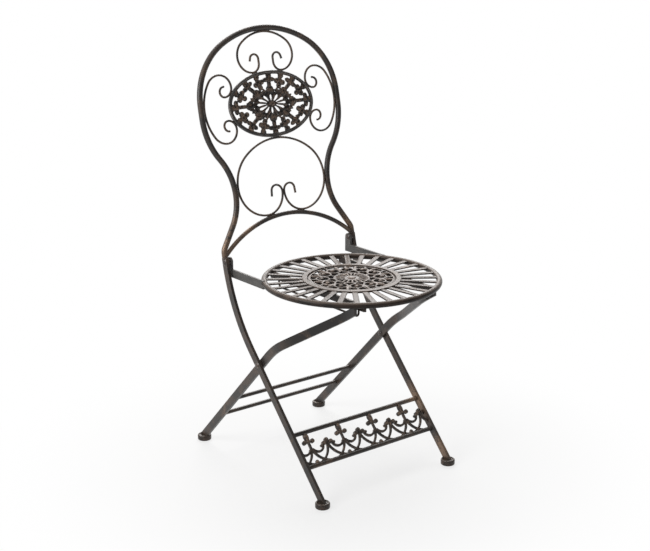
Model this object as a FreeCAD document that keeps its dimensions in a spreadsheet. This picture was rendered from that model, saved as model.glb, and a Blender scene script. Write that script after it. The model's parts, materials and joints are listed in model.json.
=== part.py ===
import FreeCAD, Part
import math
import os

# Folding garden chair of bent tube, flat bar, wire scrolls and cast ornament.
# Millimetres; +Z up, the chair faces -Y, +X is the sitter's left; the origin is on the floor.

V = FreeCAD.Vector
Rotation = FreeCAD.Rotation
Placement = FreeCAD.Placement

doc = FreeCAD.newDocument("FoldingGardenChair")
sheet = doc.addObject("Spreadsheet::Sheet", "Sizes")

driving_sizes = {
    # back: a leaning plane, measured up its slope from the weld between hoop and leg
    "back_lean": 12.1, "back_weld_y": 145.0, "back_weld_z": 485.0, "weld_drop": 16.0,
    "hoop_tube_radius": 6.5, "hoop_half_width": 188.5, "hoop_widest_height": 290.0,
    "hoop_side_run": 26.0, "hoop_shoulder_radius": 150.0, "hoop_shoulder_turn": 60.0,
    "hoop_flank_radius": 150.0, "waist_half_width": 129.0, "waist_height": 115.0,
    "hoop_flare_radius": 120.0, "hoop_flare_turn": 33.0, "hoop_ankle_radius": 22.0,
    "arch_rod_radius": 5.0, "arch_bend_radius": 261.0, "arch_crown_height": 57.3,
    "scroll_wire_radius": 2.5, "weld_sink": 0.35,
    "oval_half_width": 116.5, "oval_half_height": 74.5, "oval_height": 306.0,
    "oval_band": 6.0, "oval_thickness": 6.0, "rosette_rim": 2.0, "rosette_thickness": 4.0,
    # legs and feet
    "leg_width": 16.0, "leg_thickness": 7.0, "front_leg_x": 180.0,
    "front_leg_slope": 42.75, "leg_end_height": 10.0,
    "rear_leg_x": 171.0, "rear_leg_width": 18.0, "rear_foot_y": 255.0,
    "rear_leg_bend": 250.0, "rear_leg_upper_slope": 32.3, "rear_leg_elbow_y": -22.0,
    "rear_leg_end_x": 110.0, "rear_leg_end_y": -224.0, "rear_leg_top": 430.0,
    "rear_leg_swan_radius": 100.0, "rear_leg_swan_turn": 24.0, "rear_leg_swan_end_y": -206.0,
    "foot_radius": 16.0, "foot_height": 13.0, "foot_dish_radius": 12.5, "foot_dish_depth": 2.0,
    "foot_round": 3.0,
    "pivot_y": 21.0, "pivot_z": 254.0, "hinge_z": 461.0,
    "rivet_radius": 4.0, "rivet_head_radius": 7.5, "rivet_head_height": 3.0,
    "running_clearance": 0.05, "body_clearance": 0.4, "washer_radius": 8.0,
    "cross_rod_radius": 4.5, "upper_cross_rod_z": 140.5, "lower_cross_rod_z": 86.5,
    # fleur panel between the front legs, measured up the leg from the bottom rail
    "panel_rail_radius": 5.0, "panel_bottom_z": 70.0, "panel_height": 77.0,
    "panel_thickness": 6.0, "fleur_arm_bend": 45.0, "fleur_pitch": 89.5, "fleur_shift": -13.5,
    # seat
    "seat_centre_y": -77.4, "seat_ring_z": 438.5, "seat_ring_radius": 189.0, "seat_tube_radius": 6.5,
    "slat_count": 32.0, "slat_width": 12.0, "slat_thickness": 3.0, "slat_turn": -2.2, "seat_deck_z": 439.5,
    "inner_ring_outside": 107.6, "inner_ring_inside": 96.0, "inner_ring_height": 4.5,
    "medallion_rim": 7.0, "medallion_height": 4.0, "openwork_depth": 6.0, "openwork_sink": 3.5,
    "seat_rail_x": 98.0, "seat_rail_thickness": 5.0, "seat_rail_height": 15.0,
    "guide_wire_radius": 2.25, "guide_z": 409.5, "guide_rear_y": 54.0, "guide_front_y": -219.0,
    "guide_bend": 9.0,
    "bracket_x": 166.5, "bracket_thickness": 4.5, "bracket_tab_radius": 9.5,
    "bracket_bar_low": 426.5, "bracket_bar_high": 445.0, "bracket_front_y": 12.0,
    "slide_pin_radius": 4.0, "slide_pin_y": -212.0, "slide_pin_reach": 5.2,
}
for row, (alias, value) in enumerate(driving_sizes.items(), start=1):
    sheet.set("A%d" % row, alias.replace("_", " "))
    sheet.set("B%d" % row, str(value))
    sheet.setAlias("B%d" % row, alias)
doc.recompute()
size = {alias: float(sheet.get(alias)) for alias in driving_sizes}

nodes = {}


def bind(piece, **cells):
    for name, expression in cells.items():
        piece.setExpression(name, expression)
    return piece


def keep(piece, name):
    piece.Label = name
    nodes[name] = piece
    return piece


def shaped(name, shape, placement=Placement()):
    piece = doc.addObject("Part::Feature", name)
    piece.Shape = shape
    piece.Placement = placement
    return piece


def cut(base, tool, name):
    piece = doc.addObject("Part::Cut", name)
    piece.Base = base
    piece.Tool = tool
    return piece


def cut_all(base, tools, name):
    for count, tool in enumerate(tools):
        base = cut(base, tool, "%s_cope_%d" % (name, count))
    return base


def mirrored(source, name):
    piece = doc.addObject("Part::Mirroring", name)
    piece.Source = source
    piece.Normal = V(1, 0, 0)
    return piece


def both_sides(left_piece, name):
    keep(left_piece, name + "_left")
    keep(mirrored(left_piece, name + "_mirror"), name + "_right")


# Paths: straight runs and arcs, each tangent to the one before, in a plane's own x and y.
def run(length):
    return ("run", length, 0.0)


def bend(radius, turn):
    return ("bend", radius, turn)


def tangent_edges(start, heading, steps):
    edges = []
    here = V(start[0], start[1], 0)
    angle = math.radians(heading)
    for kind, amount, turn in steps:
        along = V(math.cos(angle), math.sin(angle), 0)
        if kind == "run":
            there = here + along * amount
            edges.append(Part.LineSegment(here, there).toShape())
        else:
            side = math.copysign(1.0, turn)
            normal = V(-math.sin(angle), math.cos(angle), 0) * side
            centre = here + normal * amount
            half = Rotation(V(0, 0, 1), turn / 2)
            whole = Rotation(V(0, 0, 1), turn)
            middle = centre + half.multVec(here - centre)
            there = centre + whole.multVec(here - centre)
            edges.append(Part.Arc(here, middle, there).toShape())
            angle += math.radians(turn)
        here = there
    return edges


def path_wire(edges):
    return Part.Wire(Part.__sortEdges__(edges))


def start_of(wire):
    first = wire.OrderedEdges[0]
    begin = first.FirstParameter
    point = wire.OrderedVertexes[0].Point
    along = first.tangentAt(begin)
    if first.valueAt(begin).distanceToPoint(point) > 1e-6:
        along = first.tangentAt(first.LastParameter) * -1
    return point, along


def sweep(name, section, path):
    piece = doc.addObject("Part::Sweep", name)
    piece.Sections = [section]
    piece.Spine = (path, [])
    piece.Solid = True
    return piece


def round_rod(name, edges, radius_cell, plane):
    wire = path_wire(edges)
    point, along = start_of(wire)
    path = shaped(name + "_path", wire, plane)
    section = doc.addObject("Part::Circle", name + "_section")
    bind(section, Radius="Sizes." + radius_cell)
    section.Placement = plane.multiply(Placement(point, Rotation(V(0, 0, 1), along)))
    return sweep(name, section, path)


def flat_bar(name, edges, in_plane, across, plane):
    wire = path_wire(edges)
    point, along = start_of(wire)
    normal = V(-along.y, along.x, 0)
    path = shaped(name + "_path", wire, plane)
    section = doc.addObject("Part::Plane", name + "_section")
    section.Length = in_plane
    section.Width = across
    corner = point - normal * (in_plane / 2) - V(0, 0, across / 2)
    section.Placement = plane.multiply(Placement(corner, Rotation(normal, V(0, 0, 1), along)))
    return sweep(name, section, path)


def x_rod(name, radius_cell, half_length, y, z):
    rod = doc.addObject("Part::Cylinder", name)
    bind(rod, Radius="Sizes." + radius_cell)
    rod.Height = 2 * half_length
    rod.Placement = Placement(V(-half_length, y, z), Rotation(V(0, 1, 0), 90))
    return rod


# PartDesign helpers
def body_named(name, placement=Placement()):
    body = doc.addObject("PartDesign::Body", name)
    body.Placement = placement
    return body


def origin_feature(body, role):
    return [feature for feature in body.Origin.OriginFeatures if feature.Role == role][0]


def sketch_on(body, role, offset=0.0):
    sketch = body.newObject("Sketcher::SketchObject", body.Name + "_sketch")
    sketch.AttachmentSupport = (origin_feature(body, role), [""])
    sketch.MapMode = "FlatFace"
    sketch.AttachmentOffset = Placement(V(0, 0, offset), Rotation())
    return sketch


def outline(sketch, *steps):
    # each step is a line through two points or an arc through three
    for step in steps:
        points = [V(*point, 0) for point in step]
        sketch.addGeometry(Part.Arc(*points) if len(points) == 3 else Part.LineSegment(*points))


def closed_lines(sketch, points):
    outline(sketch, *zip(points, points[1:] + points[:1]))


def circles(sketch, *radii):
    for radius in radii:
        sketch.addGeometry(Part.Circle(V(0, 0, 0), V(0, 0, 1), radius))


def pad(body, sketch, length_cell):
    feature = body.newObject("PartDesign::Pad", body.Name + "_pad")
    feature.Profile = sketch
    bind(feature, Length="Sizes." + length_cell)
    return feature


def revolve(body, sketch, role):
    feature = body.newObject("PartDesign::Revolution", body.Name + "_turn")
    feature.Profile = sketch
    feature.ReferenceAxis = (origin_feature(body, role), [""])
    feature.Angle = 360.0
    return feature


# Flat cast ornament: outlines in a plane, joined, then given their thickness
def polygon(points):
    corners = [V(x, y, 0) for x, y in points]
    return Part.Face(Part.makePolygon(corners + corners[:1]))


def lobe(x, y, radius):
    return Part.Face(Part.Wire(Part.makeCircle(radius, V(x, y, 0))))


# a leaf's half outline, as shares of its length and width: pointed at both ends, fuller towards the tip
leaf_half = ((0.0, 0.0), (0.3, 0.4), (0.62, 0.5), (0.87, 0.32), (1.0, 0.0))


def leaf(x, y, length, width, heading):
    place = Placement(V(x, y, 0), Rotation(V(0, 0, 1), heading))
    sides = []
    for side in (1, -1):
        points = [place.multVec(V(along * length, side * across * width, 0)) for along, across in leaf_half]
        curve = Part.BSplineCurve()
        curve.interpolate(points[::side])
        sides.append(curve.toShape())
    return Part.Face(Part.Wire(sides))


def bar_face(begin, end, width):
    along = V(end[0] - begin[0], end[1] - begin[1], 0).normalize()
    side = V(-along.y, along.x, 0) * (width / 2)
    return polygon([(begin[0] + side.x, begin[1] + side.y), (end[0] + side.x, end[1] + side.y),
                    (end[0] - side.x, end[1] - side.y), (begin[0] - side.x, begin[1] - side.y)])


def arc_band(centre, radius, width, start, stop, belly=0.0):
    # a curved strip, thickened towards the middle of its inner side by the belly
    def at(distance, angle):
        turn = math.radians(angle)
        return V(centre[0] + distance * math.cos(turn), centre[1] + distance * math.sin(turn), 0)
    outer = radius + width / 2
    inner = radius - width / 2
    middle = (start + stop) / 2
    return Part.Face(Part.Wire([
        Part.Arc(at(outer, start), at(outer, middle), at(outer, stop)).toShape(),
        Part.LineSegment(at(outer, stop), at(inner, stop)).toShape(),
        Part.Arc(at(inner, stop), at(inner - belly, middle), at(inner, start)).toShape(),
        Part.LineSegment(at(inner, start), at(outer, start)).toShape()]))


def ring_face(outer, inner, x=0.0, y=0.0):
    centre = V(x, y, 0)
    outside = Part.Face(Part.Wire(Part.makeCircle(outer, centre)))
    return outside.cut(Part.Face(Part.Wire(Part.makeCircle(inner, centre))))


def ellipse_face(half_width, half_height):
    return Part.Face(Part.Wire(Part.Ellipse(V(0, 0, 0), half_width, half_height).toShape()))


def cast(faces, thickness):
    blanks = [face.extrude(V(0, 0, thickness)) for face in faces]
    return blanks[0].fuse(blanks[1:]).removeSplitter()


# Planes
lean = math.radians(size["back_lean"])
back_base = V(0, size["back_weld_y"], size["back_weld_z"])
back_plane = Placement(back_base, Rotation(V(1, 0, 0), 90 - size["back_lean"]))


def side_plane(x):
    return Placement(V(x, 0, 0), Rotation(V(0, 1, 0), V(0, 0, 1), V(1, 0, 0)))


def in_back_plane(depth):
    return back_plane.multiply(Placement(V(0, 0, depth), Rotation()))


# Back hoop: upright ends, flare, waist, then a full round head
half_difference = size["hoop_half_width"] - size["waist_half_width"]
hoop_rise = size["hoop_widest_height"] - size["waist_height"]
arc_sum = (hoop_rise ** 2 + half_difference ** 2) / (2 * half_difference)
waist_radius = arc_sum - size["hoop_flank_radius"]
flank_turn = math.degrees(math.asin(hoop_rise / arc_sum))
flare = math.radians(size["hoop_flare_turn"])
flare_x = size["waist_half_width"] + size["hoop_flare_radius"] * (1 - math.cos(flare))
flare_height = size["waist_height"] - size["hoop_flare_radius"] * math.sin(flare)
flare_reach = size["front_leg_x"] - flare_x
ankle_height = flare_height - flare_reach / math.tan(flare)
ankle_tangent = size["hoop_ankle_radius"] * math.tan(flare / 2)
shoulder = math.radians(size["hoop_shoulder_turn"])
crown_turn = 90 - size["hoop_shoulder_turn"]
crown = math.radians(crown_turn)
shoulder_inset = size["hoop_shoulder_radius"] * (1 - math.cos(shoulder))
crown_radius = (size["hoop_half_width"] - shoulder_inset) / math.sin(crown)
shoulder_rise = size["hoop_shoulder_radius"] * math.sin(shoulder)
crown_rise = crown_radius * (1 - math.cos(crown))
hoop_top = size["hoop_widest_height"] + size["hoop_side_run"] + shoulder_rise + crown_rise

hoop_trim = 8.0
hoop_half = tangent_edges(
    (size["front_leg_x"], -size["weld_drop"] - hoop_trim), 90,
    [run(ankle_height - ankle_tangent + size["weld_drop"] + hoop_trim),
     bend(size["hoop_ankle_radius"], size["hoop_flare_turn"]),
     run(flare_reach / math.sin(flare) - ankle_tangent),
     bend(size["hoop_flare_radius"], -size["hoop_flare_turn"]), bend(waist_radius, -flank_turn),
     bend(size["hoop_flank_radius"], flank_turn), run(size["hoop_side_run"]),
     bend(size["hoop_shoulder_radius"], size["hoop_shoulder_turn"]), bend(crown_radius, crown_turn)])
hoop_edges = hoop_half + [edge.mirror(V(0, 0, 0), V(1, 0, 0)) for edge in hoop_half]
hoop_tube = round_rod("hoop_tube", hoop_edges, "hoop_tube_radius", back_plane)
trim_block = 100.0
below_weld = doc.addObject("Part::Box", "below_weld")
below_weld.Length = 4 * size["hoop_half_width"]
below_weld.Width = trim_block
below_weld.Height = trim_block
below_weld.Placement = back_plane.multiply(
    Placement(V(-2 * size["hoop_half_width"], -trim_block - size["weld_drop"], -trim_block / 2), Rotation()))
back_hoop = keep(cut(hoop_tube, below_weld, "back_hoop"), "back_hoop")

# Arch between the lower ends of the hoop
arch_radius = size["arch_bend_radius"]
arch_reach_into_tube = 0.3 * size["hoop_tube_radius"]
arch_end_x = size["front_leg_x"] - size["hoop_tube_radius"] + arch_reach_into_tube
arch_half_turn = math.degrees(math.asin(arch_end_x / arch_radius))
arch_end_height = size["arch_crown_height"] - arch_radius * (1 - math.cos(math.radians(arch_half_turn)))
arch_edges = tangent_edges((arch_end_x, arch_end_height), 180 - arch_half_turn,
                           [bend(arch_radius, 2 * arch_half_turn)])
arch_rod = round_rod("arch_rod", arch_edges, "arch_rod_radius", back_plane)
back_arch = keep(cut(arch_rod, hoop_tube, "back_arch"), "back_arch")

# Oval ring of the back medallion
oval_depth = -size["oval_thickness"] / 2
oval_place = in_back_plane(oval_depth).multiply(Placement(V(0, size["oval_height"], 0), Rotation()))
oval_blanks = []
for name, inset in (("oval_outside", ""), ("oval_inside", " - Sizes.oval_band")):
    oval = doc.addObject("Part::Ellipse", name)
    bind(oval, MajorRadius="Sizes.oval_half_width" + inset, MinorRadius="Sizes.oval_half_height" + inset)
    oval.Placement = oval_place
    blank = doc.addObject("Part::Extrusion", name + "_blank")
    blank.Base = oval
    blank.DirMode = "Custom"
    blank.Dir = back_plane.Rotation.multVec(V(0, 0, 1))
    blank.Solid = True
    bind(blank, LengthFwd="Sizes.oval_thickness")
    oval_blanks.append(blank)
oval_ring = keep(cut(oval_blanks[0], oval_blanks[1], "back_oval_ring"), "back_oval_ring")

# Scroll wires. Each half starts on the middle line, and the curls tighten towards the end.
wire_reach = size["scroll_wire_radius"] - size["weld_sink"]
top_scroll_start = (0.0, hoop_top - size["hoop_tube_radius"] - wire_reach)
top_scroll_steps = [bend(95.0, 40), bend(40.0, 50), bend(36.0, 90), bend(19.5, 90), run(9.5),
                    bend(11.2, 165), run(7)]
lower_scroll_start = (0.0, size["oval_height"] - size["oval_half_height"] - wire_reach)
lower_scroll_steps = [bend(140.0, 40), bend(86.0, 50), bend(70.4, 90), bend(47.8, 90), bend(16.5, 90),
                      bend(13.0, 85), run(13)]


def scroll_pair(name, start, steps):
    left_half = tangent_edges(start, 180, steps)
    right_half = [edge.mirror(V(0, 0, 0), V(1, 0, 0)) for edge in left_half]
    return round_rod(name + "_wire", left_half + right_half, "scroll_wire_radius", back_plane)


top_wire = scroll_pair("top_scroll", top_scroll_start, top_scroll_steps)
keep(cut_all(top_wire, [hoop_tube, oval_blanks[0]], "top_scroll"), "top_scroll")
lower_wire = scroll_pair("lower_scroll", lower_scroll_start, lower_scroll_steps)
keep(cut_all(lower_wire, [hoop_tube, oval_blanks[0], arch_rod], "lower_scroll"), "lower_scroll")

side_scroll_x = size["hoop_half_width"] - size["hoop_tube_radius"] - wire_reach
side_scroll_steps = [bend(104.0, 35), bend(36.0, 55), bend(29.1, 90), bend(20.0, 90), bend(11.5, 185)]
side_upper = tangent_edges((side_scroll_x, 0), 90, side_scroll_steps)
side_lower = [edge.mirror(V(0, 0, 0), V(0, 1, 0)) for edge in side_upper]
side_middle = back_plane.multiply(Placement(V(0, size["oval_height"], 0), Rotation()))
side_wire = round_rod("side_scroll_wire", side_upper + side_lower, "scroll_wire_radius", side_middle)
both_sides(cut_all(side_wire, [hoop_tube, oval_blanks[0]], "side_scroll"), "side_scroll")

# Cast rosette inside the oval: a pierced hub, crosses that tie it to a thin rim, and a trefoil between
# each two crosses that hangs inward from the rim
rosette_half_width = size["oval_half_width"] - size["oval_band"] - size["rosette_rim"]
rosette_half_height = size["oval_half_height"] - size["oval_band"] - size["rosette_rim"]
hub_half_width = 60.0
hub_half_height = 32.0
petal_count = 12
petal_span = (0.2, 0.68)
petal_width = 6.6
bead_share = 0.84
bead_radius = 2.0
cross_count = 8
ring_bite = 3.0
cross_stem = 9.0
cross_root = 9.5
cross_arm = (16.5, 10.5)
cross_centre = 7.0
cross_depth = 12.5
trefoil_depth = 17.0
trefoil_stem = 10.0
trefoil_heart = 8.5
trefoil_spread = 7.8
trefoil_lobe = 6.2
trefoil_tip_depth = 26.5
trefoil_tip = 5.5
rosette_edge = Part.Ellipse(V(0, 0, 0), rosette_half_width, rosette_half_height).toShape()


def on_hub(share, angle):
    turn = math.radians(angle)
    return share * hub_half_width * math.cos(turn), share * hub_half_height * math.sin(turn)


class RingPlace:
    # a place on the rim, and the way inward from it: half-way between the middle and the oval's normal
    def __init__(self, point):
        ray = math.atan2(point.y, point.x)
        normal = math.atan2(point.y / rosette_half_height ** 2, point.x / rosette_half_width ** 2)
        self.point = point
        self.heading = (ray + normal) / 2

    def inward(self, depth, across=0.0):
        out = V(math.cos(self.heading), math.sin(self.heading), 0)
        place = self.point - out * depth + V(-out.y, out.x, 0) * across
        return place.x, place.y


def rosette_cross(place):
    knot = place.inward(cross_depth)
    root = (place.point.x * hub_half_width / rosette_half_width,
            place.point.y * hub_half_height / rosette_half_height)
    heading = math.degrees(place.heading)
    faces = [bar_face(root, knot, cross_stem), bar_face(knot, place.inward(-ring_bite), cross_stem),
             lobe(*knot, cross_centre), lobe(*root, cross_root)]
    return faces + [leaf(*knot, *cross_arm, heading + side) for side in (-90, 90)]


def rosette_trefoil(place):
    heart = place.inward(trefoil_depth)
    tip = place.inward(trefoil_tip_depth)
    faces = [bar_face(heart, place.inward(-ring_bite), trefoil_stem), bar_face(heart, tip, trefoil_tip),
             lobe(*heart, trefoil_heart), lobe(*tip, trefoil_tip)]
    sides = [place.inward(trefoil_depth, side * trefoil_spread) for side in (-1, 1)]
    return faces + [lobe(*middle, trefoil_lobe) for middle in sides]


def petal_slot(angle):
    inner, outer = [on_hub(share, angle) for share in petal_span]
    heading = math.degrees(math.atan2(outer[1] - inner[1], outer[0] - inner[0]))
    return leaf(*inner, math.hypot(outer[0] - inner[0], outer[1] - inner[1]), petal_width, heading)


hub = ellipse_face(hub_half_width, hub_half_height)
for petal in range(petal_count):
    hub = hub.cut(petal_slot(360 * petal / petal_count))
    hub = hub.cut(lobe(*on_hub(bead_share, 360 * (petal + 0.5) / petal_count), bead_radius))
rim_reach = size["rosette_rim"] + ring_bite
rim = ellipse_face(rosette_half_width + rim_reach, rosette_half_height + rim_reach)
rosette_faces = [hub, rim.cut(ellipse_face(rosette_half_width, rosette_half_height))]
ring_points = rosette_edge.discretize(2 * cross_count + 1)[:-1]
for index, point in enumerate(ring_points):
    rosette_faces += rosette_trefoil(RingPlace(point)) if index % 2 else rosette_cross(RingPlace(point))
rosette_blank = shaped("rosette_blank", cast(rosette_faces, size["rosette_thickness"]),
                       in_back_plane(-size["rosette_thickness"] / 2).multiply(
                           Placement(V(0, size["oval_height"], 0), Rotation())))
back_rosette = doc.addObject("Part::Common", "back_rosette")
back_rosette.Base = rosette_blank
back_rosette.Tool = oval_blanks[1]
keep(back_rosette, "back_rosette")

# Front legs: straight from the foot through the pivot, then a long bend up into the back
slope = math.radians(size["front_leg_slope"])
leg_turn = size["front_leg_slope"] - size["back_lean"]
corner_z = ((size["back_weld_y"] - size["back_weld_z"] * math.tan(lean)
             - size["pivot_y"] + size["pivot_z"] * math.tan(slope)) / (math.tan(slope) - math.tan(lean)))
leg_tangent = (size["hinge_z"] - corner_z) / math.cos(lean)
leg_bend = leg_tangent / math.tan(math.radians(leg_turn / 2))
leg_start_z = -20.0
lower_run = (corner_z - leg_start_z) / math.cos(slope) - leg_tangent
top_run = (size["back_weld_z"] - size["hinge_z"]) / math.cos(lean) - size["weld_drop"]
hinge_y = size["back_weld_y"] - (size["back_weld_z"] - size["hinge_z"]) * math.tan(lean)


def front_leg_y(z):
    return size["pivot_y"] - (size["pivot_z"] - z) * math.tan(slope)


front_leg_edges = tangent_edges(
    (front_leg_y(leg_start_z), leg_start_z), 90 - size["front_leg_slope"],
    [run(lower_run), bend(leg_bend, leg_turn), run(top_run)])
front_leg_bar = flat_bar("front_leg_bar", front_leg_edges, size["leg_width"], size["leg_thickness"],
                         side_plane(size["front_leg_x"]))
floor_cut = doc.addObject("Part::Box", "floor_cut")
floor_cut.Length = 600.0
floor_cut.Width = 800.0
floor_cut.Height = 60.0
floor_cut.Placement = Placement(V(-300, -400, size["leg_end_height"] - 60), Rotation())


# Rivets and washers: one domed rivet each side of each pivot, with a spacer between the bars
def rivet(name, y, z, inner_end):
    outer_end = size["front_leg_x"] + size["leg_thickness"] / 2
    dome = size["rivet_head_height"]
    head = size["rivet_head_radius"]
    shank = size["rivet_radius"]
    ball = (head ** 2 + dome ** 2) / (2 * dome)
    half_way = math.asin(head / ball) / 2
    shoulder_x = ball * math.sin(half_way)
    shoulder_height = dome - ball * (1 - math.cos(half_way))
    body = body_named(name, Placement(V(0, y, z), Rotation(V(0, 1, 0), 90)))
    sketch = sketch_on(body, "XZ_Plane")
    outline(sketch,
            ((0, inner_end - dome), (shoulder_x, inner_end - shoulder_height), (head, inner_end)),
            ((head, inner_end), (shank, inner_end)), ((shank, inner_end), (shank, outer_end)),
            ((shank, outer_end), (head, outer_end)),
            ((head, outer_end), (shoulder_x, outer_end + shoulder_height), (0, outer_end + dome)),
            ((0, outer_end + dome), (0, inner_end - dome)))
    revolve(body, sketch, "Z_Axis")
    return body


def washer(name, y, z, inner_face, outer_face):
    body = body_named(name, Placement(V(inner_face, y, z), Rotation(V(0, 1, 0), 90)))
    sketch = sketch_on(body, "XY_Plane")
    circles(sketch, size["washer_radius"], size["rivet_radius"])
    feature = body.newObject("PartDesign::Pad", name + "_pad")
    feature.Profile = sketch
    feature.Length = outer_face - inner_face
    return body


def pair_of(left_piece, name):
    both = doc.addObject("Part::Compound", name)
    both.Links = [left_piece, mirrored(left_piece, name + "_mirror")]
    return keep(both, name)


def x_hole(name, radius, y, z):
    hole = doc.addObject("Part::Cylinder", name)
    hole.Radius = radius
    hole.Height = 100.0
    hole.Placement = Placement(V(130, y, z), Rotation(V(0, 1, 0), 90))
    return hole


leg_inside = size["front_leg_x"] - size["leg_thickness"] / 2
rear_outside = size["rear_leg_x"] + size["leg_thickness"] / 2
rear_inside = size["rear_leg_x"] - size["leg_thickness"] / 2
bracket_outside = size["bracket_x"] + size["bracket_thickness"]
gap = size["body_clearance"]
pivot = (size["pivot_y"], size["pivot_z"])
hinge = (hinge_y, size["hinge_z"])
pair_of(rivet("pivot_rivet", *pivot, rear_inside - gap), "leg_pivot_rivets")
pair_of(rivet("hinge_rivet", *hinge, size["bracket_x"] - gap), "seat_hinge_rivets")
pair_of(washer("pivot_washer", *pivot, rear_outside + gap, leg_inside), "leg_pivot_washers")
pair_of(washer("hinge_washer", *hinge, bracket_outside + gap, leg_inside), "seat_hinge_spacers")

rivet_holes = [x_hole("pivot_hole", size["rivet_radius"], *pivot),
               x_hole("hinge_hole", size["rivet_radius"], *hinge)]
front_leg_left = cut_all(front_leg_bar, [floor_cut] + rivet_holes, "front_leg")
both_sides(front_leg_left, "front_leg")

# Rods between the front legs, and the cast strip of fleurs-de-lis between them
panel_bottom = V(0, front_leg_y(size["panel_bottom_z"]), size["panel_bottom_z"])
leg_up = V(0, math.sin(slope), math.cos(slope))
panel_top = panel_bottom + leg_up * size["panel_height"]
panel_rails = []
for name, middle in (("panel_bottom_rail", panel_bottom), ("panel_top_rail", panel_top)):
    rail = x_rod(name, "panel_rail_radius", leg_inside, middle.y, middle.z)
    panel_rails.append(keep(rail, name))

fleur_web = 4.5
fleur_ball = 5.0
fleur_arm_start = 4.0
fleur_stem_foot = 6.0
# tall fleur: heights up the panel from the bottom rail, and half spans from its stem
tall_arm_height = 43.0
tall_ball = (10.5, 54.0)
tall_leaf = (51.0, 26.0, 12.0)
tall_stem_top = 61.5
drop_leaf = (11.5, 8.0)
# swag from the tall stem to the short fleur: its middle from the stem, radius, strip and belly
swag_middle = (18.0, 41.0)
swag_radius = 15.0
swag_strip = 3.5
swag_belly = 1.8
swag_start = 15.0
# short fleur: a head, a knob and an end ball on each arm
short_arm_height = 44.5
short_head_rise = 3.0
short_knob = (9.5, 41.5)
short_end_ball = (16.4, 38.0)
short_end_radius = 3.3


def flared_arms(x, height):
    # two legs that leave the stem nearly upright and flatten out onto the bottom rail
    radius = size["fleur_arm_bend"]
    steep = math.radians(90 - fleur_arm_start)
    centre_x = radius * math.sin(steep)
    centre_y = height + radius * math.cos(steep)
    end = math.degrees(math.asin(centre_y / radius)) if centre_y < radius else 90.0
    return [arc_band((x + centre_x, centre_y), radius, fleur_web, 180 + fleur_arm_start, 180 + end),
            arc_band((x - centre_x, centre_y), radius, fleur_web, 360 - end, 360 - fleur_arm_start)]


def tall_fleur(x):
    ball_x, ball_height = tall_ball
    leaf_foot, leaf_length, leaf_width = tall_leaf
    faces = [leaf(x, leaf_foot, leaf_length, leaf_width, 90), leaf(x, 0, *drop_leaf, 90),
             bar_face((x, tall_arm_height - fleur_stem_foot), (x, tall_stem_top), fleur_web),
             bar_face((x - ball_x, ball_height), (x + ball_x, ball_height), fleur_web)]
    for side in (-1, 1):
        faces.append(lobe(x + side * ball_x, ball_height, fleur_ball))
        faces.append(arc_band((x + side * swag_middle[0], swag_middle[1]), swag_radius, swag_strip,
                              180 + swag_start, 360 - swag_start, swag_belly))
    return faces + flared_arms(x, tall_arm_height)


def short_fleur(x):
    head = short_arm_height + short_head_rise
    faces = [lobe(x, head, fleur_ball),
             bar_face((x, short_arm_height - fleur_stem_foot), (x, head), fleur_web)]
    for side in (-1, 1):
        knob = (x + side * short_knob[0], short_knob[1])
        end_ball = (x + side * short_end_ball[0], short_end_ball[1])
        faces += [lobe(*knob, fleur_ball), bar_face((x, short_arm_height), knob, fleur_web)]
        if abs(end_ball[0]) + short_end_radius < leg_inside:
            faces += [lobe(*end_ball, short_end_radius), bar_face(knob, end_ball, swag_strip)]
    return faces + flared_arms(x, short_arm_height)


def fleur_row():
    pitch = size["fleur_pitch"]
    faces = []
    for index in range(-2, 2):
        faces += tall_fleur((index + 0.5) * pitch + size["fleur_shift"])
    for index in range(-2, 3):
        faces += short_fleur(index * pitch + size["fleur_shift"])
    row = cast(faces, size["panel_thickness"])
    return row.common(Part.makeBox(2 * leg_inside, 2 * size["panel_height"], size["panel_thickness"],
                                   V(-leg_inside, 0, 0)))


panel_place = Placement(panel_bottom, Rotation(V(1, 0, 0), 90 - size["front_leg_slope"])).multiply(
    Placement(V(0, 0, -size["panel_thickness"] / 2), Rotation()))
fleur_blank = shaped("fleur_blank", fleur_row(), panel_place)
keep(cut_all(fleur_blank, panel_rails, "fleur_panel"), "fleur_panel")

# Rear legs: straight up through the pivot, an elbow, then a swan bend inward under the seat
rear_leg_rise = size["pivot_z"] - size["foot_height"]
rear_slope = math.degrees(math.atan2(rear_leg_rise, size["rear_foot_y"] - size["pivot_y"]))


def rear_leg_z(y):
    return size["pivot_z"] + (size["pivot_y"] - y) * math.tan(math.radians(rear_slope))


elbow = V(0, size["rear_leg_elbow_y"], rear_leg_z(size["rear_leg_elbow_y"]))
elbow_turn = rear_slope - size["rear_leg_upper_slope"]
elbow_tangent = size["rear_leg_bend"] * math.tan(math.radians(elbow_turn / 2))
rear_start_z = -40.0
rear_start_y = size["pivot_y"] - (rear_start_z - size["pivot_z"]) / math.tan(math.radians(rear_slope))
lower_length = math.hypot(rear_start_y - elbow.y, elbow.z - rear_start_z) - elbow_tangent
upper_length = (elbow.y - size["rear_leg_end_y"]) / math.cos(math.radians(size["rear_leg_upper_slope"])) + 20
side_edges = tangent_edges((rear_start_y, rear_start_z), 180 - rear_slope,
                           [run(lower_length), bend(size["rear_leg_bend"], elbow_turn),
                            run(upper_length - elbow_tangent)])
side_depth = 160.0
rear_side = flat_bar("rear_side", side_edges, size["rear_leg_width"], side_depth,
                     side_plane(size["rear_leg_x"] - side_depth / 2 + 30))

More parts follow.
